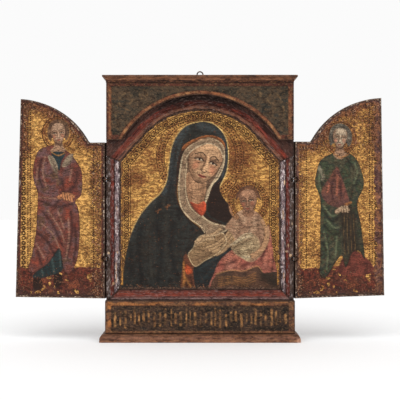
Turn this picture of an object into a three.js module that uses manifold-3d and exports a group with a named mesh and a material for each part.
// A small portable triptych altarpiece of painted and gilded poplar: a framed centre panel with an arched
// picture field, a head board and a plinth that stand proud of the frame, and two arched wings on wrought
// wire hinges. Millimetres. X runs across the front, Y points to the back, Z is up, and the origin is the
// middle of the underside.
import * as THREE from "three";
import { mergeVertices } from "three/addons/utils/BufferGeometryUtils.js";
import Module from "manifold-3d";

const wasm = await Module();
wasm.setup();

// ---- driving dimensions -------------------------------------------------------------------------

const GAP = 0.3; // hairline joint between neighbouring pieces of wood
const CUT = 1; // how far a cutting tool runs past the face that it cuts

// depths, as planes across Y
const BACK_Y = 29.5;
const PICTURE_Y = 1.5; // face of the 28 mm plank that carries the picture
const FRAME_RELIEF = 10; // frame mouldings above the picture
const FRAME_Y = PICTURE_Y - FRAME_RELIEF;
const FRONT_Y = FRAME_Y - 12; // head board and plinth stand proud of the frame, so closed wings lie flush

// widths, as distances from the middle
const BODY_HALF = 140.6;
const SPANDREL_HALF = 139.8;
const PREDELLA_HALF = 141.4;
const PICTURE_HALF = 120.8;

// heights
const BASE_TOP_Z = 12.2;
const PREDELLA_TOP_Z = 61.2;
const PICTURE_BOTTOM_Z = 77.5;
const SPANDREL_BOTTOM_Z = 301.1;
const CORNICE_BOTTOM_Z = 386.4;
const CORNICE_TOP_Z = 397.4;

// the arch of the head board, one arc from side to side, with a rounded foot
const ARCH_HALF = 116.8;
const ARCH_RISE = 67.6;
const ARCH_RADIUS = (ARCH_HALF ** 2 + ARCH_RISE ** 2) / (2 * ARCH_RISE);
const ARCH_CENTRE_Z = SPANDREL_BOTTOM_Z + ARCH_RISE - ARCH_RADIUS;
const FOOT_RADIUS = 4;

// the picture's arch, a concentric arc that runs into straight haunches
const PICTURE_PEAK_Z = 347.8;
const PICTURE_RADIUS = PICTURE_PEAK_Z - ARCH_CENTRE_Z;
const HAUNCH_ANGLE = THREE.MathUtils.degToRad(48); // slope of the haunches, and where the arc ends
const ARC_STEPS = 36;

// frame moulding, as distance out from the picture's edge
const SIDE_WIDTH = BODY_HALF - PICTURE_HALF;
const SILL_WIDTH = PICTURE_BOTTOM_Z - PREDELLA_TOP_Z - GAP;
const INNER_FILLET = { d: 1.5, h: 2.6 }; // distance out, and height above the picture
const CAVETTO_END = { d: 8, h: 7 };
const OVOLO_START_D = 8.4;
const OVOLO_END_H = 9.4;
const FLAT_FROM = 13; // the outer flat begins here
const CURVE_STEPS = 5;

// sunk fields of the head board and the plinth
const FIELD_DEPTH = 1.1;
const ARCH_BORDER = 6;
const SIDE_BORDER = 8;
const LEVEL_BORDER = { top: 5, bottom: 7.5 };
const PREDELLA_BORDER = { side: 9, top: 7.5, bottom: 4 };

// profiles of the cap and the foot: how far each step projects, and heights
const CORNICE = { foot: 0.5, lip: 3.6, out: 5.8, filletHeight: 3.4 };
const BASE = { nose: 4.5, out: 8.2, top: 0.8 };

// wings and their hinges
const WING_THICK = 11;
const WING_BOTTOM_Z = PREDELLA_TOP_Z + 2.5;
const WING_REACH = 141; // from the hinge axis to the outer edge, at the bottom
const WING_STEPS = 40;
// The old leaves differ a little: clearance under the head board, how far the outer edge leans in at the
// top, and how far the bottom edge rises towards it.
const LEAVES = [
  { word: "left", side: -1, clearance: 3.2, taper: 8, rise: 0 },
  { word: "right", side: 1, clearance: 1.8, taper: 4.8, rise: 2.6 },
];
const HINGE_X = BODY_HALF + 1;
const HINGE_Y = FRAME_Y - GAP;
const WING_EDGE = 1.5; // from the hinge axis to the wing's edge
const WING_SWEEP = THREE.MathUtils.degToRad(9); // the open wings lean back from the frame
const HINGE_Z = { upper: 242.3, lower: 123 };
const WIRE_RADIUS = 0.9;
const EYE_RADIUS = 3; // wire centreline of a hinge eye
const POCKET = { frame: { radius: 4.8, height: 5.2 }, wing: { radius: 4.6, height: 3.6 } }; // round the axis
const EYE_SLOT = { radius: 4.4, width: 2.6 }; // cut in the wing for its own upright eye
const BODY_SHANK = 11.3; // length of a shank in the frame, from the hinge axis
const CLENCH = 7; // bent-over tip behind a wing
const CONTACT = 0.05; // the tips all but touch the wood

// hanging staple on top
const STAPLE_RADIUS = 4.3;
const STAPLE_WIRE = 1;
const STAPLE_Y = 6;
const STAPLE_PROUD = 4; // straight leg above the wood
const STAPLE_DEPTH = 9;

const paint = (color, roughness, metalness = 0) =>
  new THREE.MeshStandardMaterial({ color, roughness, metalness });
const MATERIALS = {
  gilding: paint(0x9c7040, 0.5, 0.3),
  moulding: paint(0x6a3c30, 0.6),
  spandrel: paint(0x49402f, 0.65),
  wornWood: paint(0x6c4a38, 0.7),
  inscription: paint(0x4d3a2c, 0.65),
  iron: paint(0x2b2622, 0.5, 0.8),
};

// ---- closed meshes and boolean joins ------------------------------------------------------------

// A closed geometry from points and triangles, turned so that its faces point out.
function closedMesh(points, triangles) {
  const geometry = new THREE.BufferGeometry();
  geometry.setAttribute("position", new THREE.Float32BufferAttribute(points.flat(), 3));
  const [a, b, c] = [new THREE.Vector3(), new THREE.Vector3(), new THREE.Vector3()];
  let volume = 0;
  for (const [i, j, k] of triangles) {
    b.set(...points[j]).cross(c.set(...points[k]));
    volume += a.set(...points[i]).dot(b);
  }
  geometry.setIndex(triangles.flatMap(([i, j, k]) => (volume < 0 ? [i, k, j] : [i, j, k])));
  return geometry;
}

// Joins sections, each a ring of the same number of points, into one closed body. outline is the ring in
// 2-D, which the two end caps are triangulated by.
function loft(sections, outline) {
  const n = outline.length;
  const triangles = [];
  for (let s = 0; s + 1 < sections.length; s++) {
    for (let i = 0; i < n; i++) {
      const [p, q] = [s * n + i, s * n + ((i + 1) % n)];
      triangles.push([p, q, q + n], [p, q + n, p + n]);
    }
  }
  const ring = outline.map(([x, y]) => new THREE.Vector2(x, y));
  const winding = Math.sign(THREE.ShapeUtils.area(ring));
  const last = (sections.length - 1) * n;
  for (const face of THREE.ShapeUtils.triangulateShape(ring, [])) {
    const along = Math.sign(THREE.ShapeUtils.area(face.map((i) => ring[i]))) === winding;
    const cap = along ? face : [...face].reverse();
    triangles.push([...cap].reverse(), cap.map((i) => last + i));
  }
  return closedMesh(sections.flat(), triangles);
}

function solidOf(geometry) {
  const bare = new THREE.BufferGeometry().setAttribute("position", geometry.getAttribute("position"));
  if (geometry.index) bare.setIndex(geometry.index);
  const merged = mergeVertices(bare, 1e-4);
  return new wasm.Manifold(
    new wasm.Mesh({
      numProp: 3,
      vertProperties: new Float32Array(merged.attributes.position.array),
      triVerts: new Uint32Array(merged.index.array),
    }),
  );
}

function geometryOf(solid) {
  const mesh = solid.getMesh();
  const geometry = new THREE.BufferGeometry();
  geometry.setAttribute("position", new THREE.BufferAttribute(mesh.vertProperties, 3));
  geometry.setIndex(new THREE.BufferAttribute(mesh.triVerts, 1));
  return geometry;
}

const joined = (...geometries) => geometryOf(geometries.map(solidOf).reduce((a, b) => a.add(b)));
const without = (geometry, ...tools) =>
  geometryOf(tools.map(solidOf).reduce((a, b) => a.subtract(b), solidOf(geometry)));

function box(x0, x1, y0, y1, z0, z1) {
  const geometry = new THREE.BoxGeometry(x1 - x0, y1 - y0, z1 - z0);
  return geometry.translate((x0 + x1) / 2, (y0 + y1) / 2, (z0 + z1) / 2);
}

// A flat outline of [x, z] points, from the plane y0 back to the plane y1.
function slab(outline, y0, y1) {
  const at = (y) => outline.map(([x, z]) => [x, y, z]);
  return loft([at(y0), at(y1)], outline);
}

const mirrored = (outline) => [...outline].reverse().map(([x, z]) => [-x, z]);

const named = (name, geometry, material) => {
  const mesh = new THREE.Mesh(geometry, material);
  mesh.name = name;
  return mesh;
};

// ---- centre panel, head board and plinth --------------------------------------------------------

const centrePanel = () =>
  box(-BODY_HALF, BODY_HALF, PICTURE_Y, BACK_Y, BASE_TOP_Z + GAP, CORNICE_BOTTOM_Z - GAP);

// The head board's foot is rounded by a small circle that touches both the arch and the level edge.
const FOOT_Z = SPANDREL_BOTTOM_Z + FOOT_RADIUS;
const FOOT_X = Math.sqrt((ARCH_RADIUS + FOOT_RADIUS) ** 2 - (FOOT_Z - ARCH_CENTRE_Z) ** 2);
const ARCH_END = Math.atan2(FOOT_X, FOOT_Z - ARCH_CENTRE_Z); // from the vertical

// Points of an arc, with its angles measured from straight up.
function arc(x, z, radius, from, to, steps) {
  return Array.from({ length: steps + 1 }, (_, i) => {
    const angle = from + ((to - from) * i) / steps;
    return [x + radius * Math.sin(angle), z + radius * Math.cos(angle)];
  });
}

// Height of the head board's lower edge at a distance from the middle.
function headEdgeZ(distance) {
  if (distance >= FOOT_X) return SPANDREL_BOTTOM_Z;
  if (distance <= ARCH_RADIUS * Math.sin(ARCH_END)) {
    return ARCH_CENTRE_Z + Math.sqrt(ARCH_RADIUS ** 2 - distance ** 2);
  }
  return FOOT_Z - Math.sqrt(FOOT_RADIUS ** 2 - (FOOT_X - distance) ** 2);
}

function spandrelBoard() {
  const top = CORNICE_BOTTOM_Z - GAP;
  const half = [
    ...arc(0, ARCH_CENTRE_Z, ARCH_RADIUS, 0, ARCH_END, ARC_STEPS),
    ...arc(FOOT_X, FOOT_Z, FOOT_RADIUS, Math.PI + ARCH_END, Math.PI, CURVE_STEPS).slice(1),
    [SPANDREL_HALF, SPANDREL_BOTTOM_Z],
    [SPANDREL_HALF, top],
  ];
  const low = SPANDREL_BOTTOM_Z + LEVEL_BORDER.bottom;
  const radius = ARCH_RADIUS + ARCH_BORDER;
  const side = SPANDREL_HALF - SIDE_BORDER;
  const field = [
    ...arc(0, ARCH_CENTRE_Z, radius, 0, Math.acos((low - ARCH_CENTRE_Z) / radius), ARC_STEPS),
    [side, low],
    [side, top - LEVEL_BORDER.top],
  ];
  const board = slab([...mirrored(half), ...half.slice(1)], FRONT_Y, FRAME_Y - GAP);
  const sunk = slab([...mirrored(field), ...field.slice(1)], FRONT_Y - CUT, FRONT_Y + FIELD_DEPTH);
  return without(board, sunk);
}

function predellaBoard() {
  const [bottom, top] = [BASE_TOP_Z + GAP, PREDELLA_TOP_Z];
  const board = box(-PREDELLA_HALF, PREDELLA_HALF, FRONT_Y, PICTURE_Y - GAP, bottom, top);
  const side = PREDELLA_HALF - PREDELLA_BORDER.side;
  const low = bottom + PREDELLA_BORDER.bottom;
  const high = top - PREDELLA_BORDER.top;
  return without(board, box(-side, side, FRONT_Y - CUT, FRONT_Y + FIELD_DEPTH, low, high));
}

// A cap or foot that wraps the front and both ends: level sections with a projection at each height.
function wrapped(half, profile) {
  const sections = profile.map(([out, z]) => {
    const [x, y] = [half + out, FRONT_Y - out];
    return [[-x, y, z], [x, y, z], [x, BACK_Y, z], [-x, BACK_Y, z]];
  });
  return loft(sections, [[-1, -1], [1, -1], [1, 1], [-1, 1]]);
}

// A quarter turn of CURVE_STEPS steps, as [sine, 1 - cosine] pairs from [0, 0] to [1, 1].
const QUARTER = Array.from({ length: CURVE_STEPS + 1 }, (_, i) => {
  const angle = ((Math.PI / 2) * i) / CURVE_STEPS;
  return [Math.sin(angle), 1 - Math.cos(angle)];
});

function cornice() {
  const { foot, lip, out, filletHeight } = CORNICE;
  const lipZ = CORNICE_TOP_Z - filletHeight;
  const coveZ = CORNICE_BOTTOM_Z + 1;
  const cove = QUARTER.map(([sine, rest]) => [foot + (lip - foot) * rest, coveZ + (lipZ - coveZ) * sine]);
  return wrapped(SPANDREL_HALF, [
    [foot, CORNICE_BOTTOM_Z],
    ...cove,
    [out - 0.6, lipZ + 0.3],
    [out, lipZ + 1],
    [out, CORNICE_TOP_Z - 0.8],
    [out - 0.8, CORNICE_TOP_Z],
  ]);
}

function baseMoulding() {
  const { nose, out, top } = BASE;
  const rise = BASE_TOP_Z - nose;
  const shoulder = QUARTER.map(([sine, rest]) => [out - (out - top) * rest, nose + rise * sine]);
  return wrapped(PREDELLA_HALF, [[out - 0.6, 0], [out, 0.8], ...shoulder]);
}

// ---- frame mouldings ----------------------------------------------------------------------------

// The moulding's section as [distance out from the picture, height above it]: a fillet, a hollow, a round
// and a flat.
function mouldingProfile(width) {
  const hollow = QUARTER.slice(1).map(([sine, rest]) => [
    INNER_FILLET.d + (CAVETTO_END.d - INNER_FILLET.d) * sine,
    INNER_FILLET.h + (CAVETTO_END.h - INNER_FILLET.h) * rest,
  ]);
  const round = QUARTER.map(([sine, rest]) => [
    OVOLO_START_D + (FLAT_FROM - OVOLO_START_D) * rest,
    CAVETTO_END.h + (OVOLO_END_H - CAVETTO_END.h) * sine,
  ]);
  const split = width > SILL_WIDTH;
  return [
    [0, GAP],
    [0, INNER_FILLET.h],
    [INNER_FILLET.d, INNER_FILLET.h],
    ...hollow,
    ...round,
    [FLAT_FROM, FRAME_RELIEF],
    ...(split ? [[SILL_WIDTH, FRAME_RELIEF]] : []),
    [width, FRAME_RELIEF],
    [width, GAP],
    ...(split ? [[SILL_WIDTH, GAP]] : []),
  ];
}

// Sweeps the moulding along stations. A station is where the picture's edge is, and the step in X and Z for
// each millimetre out from it; limit, if given, holds a point's height above a level.
function moulding(width, stations, limit = -Infinity) {
  const profile = mouldingProfile(width);
  const sections = stations.map(({ at, out }) =>
    profile.map(([d, h]) => [at[0] + out[0] * d, PICTURE_Y - h, Math.max(limit, at[1] + out[1] * d)]),
  );
  return loft(sections, profile);
}

const HAUNCH_X = PICTURE_RADIUS * Math.sin(HAUNCH_ANGLE);
const HAUNCH_Z = ARCH_CENTRE_Z + PICTURE_RADIUS * Math.cos(HAUNCH_ANGLE);
const HAUNCH_FOOT_Z = HAUNCH_Z - (PICTURE_HALF - HAUNCH_X) * Math.tan(HAUNCH_ANGLE);
const HAUNCH_MITRE = Math.tan((Math.PI / 2 - HAUNCH_ANGLE) / 2); // the upper mitre's rise for each mm out

// Stations of the picture's head, from its left foot over the arc to its right foot.
function headStations() {
  const foot = { at: [PICTURE_HALF, HAUNCH_FOOT_Z], out: [1, HAUNCH_MITRE] };
  const outwards = arc(0, 0, 1, 0, HAUNCH_ANGLE, ARC_STEPS / 2);
  const edge = ([x, z]) => [PICTURE_RADIUS * x, ARCH_CENTRE_Z + PICTURE_RADIUS * z];
  const half = [...outwards.map((out) => ({ at: edge(out), out })), foot];
  const left = half.slice(1).reverse();
  return [...left.map(({ at, out }) => ({ at: [-at[0], at[1]], out: [-out[0], out[1]] })), ...half];
}

// The head of the frame: the moulding round the arch, and the flat board that it is cut on.
function archMoulding() {
  const stations = headStations();
  const overlap = 0.6;
  const inner = stations.map(({ at, out }) => [at[0] + out[0] * FLAT_FROM, at[1] + out[1] * FLAT_FROM]);
  const top = CORNICE_BOTTOM_Z - GAP;
  const outerFoot = HAUNCH_FOOT_Z + HAUNCH_MITRE * SIDE_WIDTH;
  const outline = [
    [-BODY_HALF, outerFoot],
    ...inner,
    [BODY_HALF, outerFoot],
    [BODY_HALF, top],
    [-BODY_HALF, top],
  ];
  const board = slab(outline, FRAME_Y, PICTURE_Y - GAP);
  return joined(board, moulding(FLAT_FROM + overlap, stations));
}

function sillMoulding() {
  const end = (side) => ({ at: [side * PICTURE_HALF, PICTURE_BOTTOM_Z], out: [side, -1] });
  return moulding(SILL_WIDTH, [end(-1), end(1)]);
}

function sideMoulding(side) {
  const lower = { at: [side * PICTURE_HALF, PICTURE_BOTTOM_Z + GAP * Math.SQRT2], out: [side, -1] };
  const upper = { at: [side * PICTURE_HALF, HAUNCH_FOOT_Z - GAP], out: [side, HAUNCH_MITRE] };
  const strip = moulding(SIDE_WIDTH, [lower, upper], PREDELLA_TOP_Z + GAP);
  const recesses = Object.values(HINGE_Z).flatMap((z) => bodyRecess(side, z));
  return without(strip, ...recesses);
}

// ---- hinges -------------------------------------------------------------------------------------
// Each hinge is two interlocked wire eyes. The body's eye lies level round the hinge axis. The wing's eye
// stands upright, its wire running down the axis. Both shanks run back at 45 degrees into the corner of
// their board.

const SHANK_WIDTH = 4 * WIRE_RADIUS; // two wires side by side
const SIDES = 10;

// A straight double shank along +X from one distance to another, its two wires side by side across Y.
function shank(from, to, grow = 0) {
  const [w, r] = [SHANK_WIDTH / 2 + grow, WIRE_RADIUS + grow];
  const section = [];
  for (let i = 0; i < SIDES; i++) {
    const angle = (2 * Math.PI * (i + 0.5)) / SIDES;
    section.push([Math.sign(Math.cos(angle)) * (w - r) + r * Math.cos(angle), r * Math.sin(angle)]);
  }
  const at = (x) => section.map(([y, z]) => [x, y, z]);
  return loft([at(from), at(to)], section);
}

const eye = () => new THREE.TorusGeometry(EYE_RADIUS, WIRE_RADIUS, 8, 24);

// A wire through points of a plane that faces Y, as an 8-sided tube.
function wire(points, radius) {
  const outline = arc(0, 0, radius, 0, 2 * Math.PI, 8).slice(1);
  const sections = points.map((point, i) => {
    const [before, after] = [points[Math.max(0, i - 1)], points[Math.min(points.length - 1, i + 1)]];
    const along = after.clone().sub(before).normalize();
    const across = new THREE.Vector3(0, 1, 0).cross(along);
    return outline.map(([u, v]) => [point.x + u * across.x, point.y + v, point.z + u * across.z]);
  });
  return loft(sections, outline);
}

// Turns a shape made along +X so that it runs back into the wood, towards +X or -X, and moves it to the
// hinge.
function placed(geometry, towards, origin) {
  const turn = towards > 0 ? Math.PI / 4 : (Math.PI * 3) / 4;
  return geometry.rotateZ(turn).translate(...origin);
}

const pocket = ({ radius, height }) =>
  new THREE.CylinderGeometry(radius, radius, height, 24).rotateX(Math.PI / 2);

function bodyLoop(side, z) {
  const loop = joined(eye(), shank(EYE_RADIUS, BODY_SHANK));
  return placed(loop, -side, [side * HINGE_X, HINGE_Y, z]);
}

function bodyRecess(side, z) {
  const origin = [side * HINGE_X, HINGE_Y, z];
  const hole = placed(shank(EYE_RADIUS, BODY_SHANK + GAP, GAP), -side, origin);
  return [pocket(POCKET.frame).translate(...origin), hole];
}

// The wing's loop, with the hinge axis at the origin: an upright eye, a shank that runs right through the
// leaf, and the two tips bent flat behind it, one up and one down.
const WING_BACK = GAP + WING_THICK;
const TIP_OUT = WING_BACK + WIRE_RADIUS;

function wingLoop(side, z) {
  const upright = eye().rotateX(Math.PI / 2).translate(EYE_RADIUS, 0, 0);
  const stem = shank(2 * EYE_RADIUS, TIP_OUT * Math.SQRT2).rotateX(Math.PI / 2);
  const x = side * TIP_OUT;
  const y = TIP_OUT + CONTACT;
  const tips = wire([new THREE.Vector3(x, y, z - CLENCH), new THREE.Vector3(x, y, z + CLENCH)], WIRE_RADIUS);
  return joined(placed(joined(upright, stem), side, [0, 0, z]), tips);
}

function wingRecess(side, z) {
  const { radius, width } = EYE_SLOT;
  const slot = new THREE.CylinderGeometry(radius, radius, width, 24).translate(EYE_RADIUS, 0, 0);
  const hole = shank(2 * EYE_RADIUS, (WING_BACK + 2 * CUT) * Math.SQRT2, GAP).rotateX(Math.PI / 2);
  return [
    pocket(POCKET.wing).translate(0, 0, z),
    placed(slot, side, [0, 0, z]),
    placed(hole, side, [0, 0, z]),
  ];
}

// ---- wings --------------------------------------------------------------------------------------

// Top of a wing at a distance out from the hinge axis and a depth behind it. The point passes under the
// head board's front plane at one place as the leaf swings, so the top is kept below the board's edge at
// that place. That bevels the arched edge a little towards the painted face.
function wingTopZ(reach, depth, clearance) {
  const front = HINGE_Y - FRONT_Y;
  const passing = Math.sqrt(Math.max(0, reach ** 2 + depth ** 2 - front ** 2));
  return headEdgeZ(HINGE_X - passing) - clearance;
}

function wingOutline({ side, clearance, taper, rise }, depth) {
  const outer = WING_REACH - taper;
  const top = Array.from({ length: WING_STEPS + 1 }, (_, i) => {
    const share = 1 - (1 - i / WING_STEPS) ** 1.5; // closer steps towards the shoulder
    const reach = outer + (WING_EDGE - outer) * share;
    return [side * reach, wingTopZ(reach, depth, clearance)];
  });
  return [[side * WING_EDGE, WING_BOTTOM_Z], [side * WING_REACH, WING_BOTTOM_Z + rise], ...top];
}

function wing(leaf) {
  const ring = (depth) => wingOutline(leaf, depth).map(([x, z]) => [x, depth, z]);
  const board = loft([ring(GAP), ring(WING_BACK)], wingOutline(leaf, WING_BACK));
  return without(board, ...Object.values(HINGE_Z).flatMap((z) => wingRecess(leaf.side, z)));
}

// ---- hanging staple -----------------------------------------------------------------------------

function hangingStaple() {
  const low = CORNICE_TOP_Z - STAPLE_DEPTH;
  const bow = arc(0, CORNICE_TOP_Z + STAPLE_PROUD, STAPLE_RADIUS, -Math.PI / 2, Math.PI / 2, 14);
  const line = [[-STAPLE_RADIUS, low], ...bow, [STAPLE_RADIUS, low]];
  return wire(line.map(([x, z]) => new THREE.Vector3(x, STAPLE_Y, z)), STAPLE_WIRE);
}

function stapleHoles() {
  const r = STAPLE_WIRE + GAP;
  const low = CORNICE_TOP_Z - STAPLE_DEPTH - GAP;
  const at = (x) => box(x - r, x + r, STAPLE_Y - r, STAPLE_Y + r, low, CORNICE_TOP_Z + CUT);
  return [at(-STAPLE_RADIUS), at(STAPLE_RADIUS)];
}

// ---- assembly -----------------------------------------------------------------------------------

const triptych = new THREE.Group();
triptych.add(
  named("centre_panel", centrePanel(), MATERIALS.gilding),
  named("arch_moulding", archMoulding(), MATERIALS.moulding),
  named("left_side_moulding", sideMoulding(-1), MATERIALS.moulding),
  named("right_side_moulding", sideMoulding(1), MATERIALS.moulding),
  named("sill_moulding", sillMoulding(), MATERIALS.moulding),
  named("spandrel_board", spandrelBoard(), MATERIALS.spandrel),
  named("cornice", without(cornice(), ...stapleHoles()), MATERIALS.wornWood),
  named("predella_board", predellaBoard(), MATERIALS.inscription),
  named("base_moulding", baseMoulding(), MATERIALS.wornWood),
  named("hanging_staple", hangingStaple(), MATERIALS.iron),
);

for (const leaf of LEAVES) {
  const { word, side } = leaf;
  const hung = new THREE.Group();
  hung.position.set(side * HINGE_X, HINGE_Y, 0);
  hung.rotation.z = side * WING_SWEEP;
  hung.add(named(`${word}_wing`, wing(leaf), MATERIALS.gilding));
  for (const [level, z] of Object.entries(HINGE_Z)) {
    hung.add(named(`${word}_${level}_hinge_wing_loop`, wingLoop(side, z), MATERIALS.iron));
    triptych.add(named(`${word}_${level}_hinge_body_loop`, bodyLoop(side, z), MATERIALS.iron));
  }
  triptych.add(hung);
}

export default triptych;
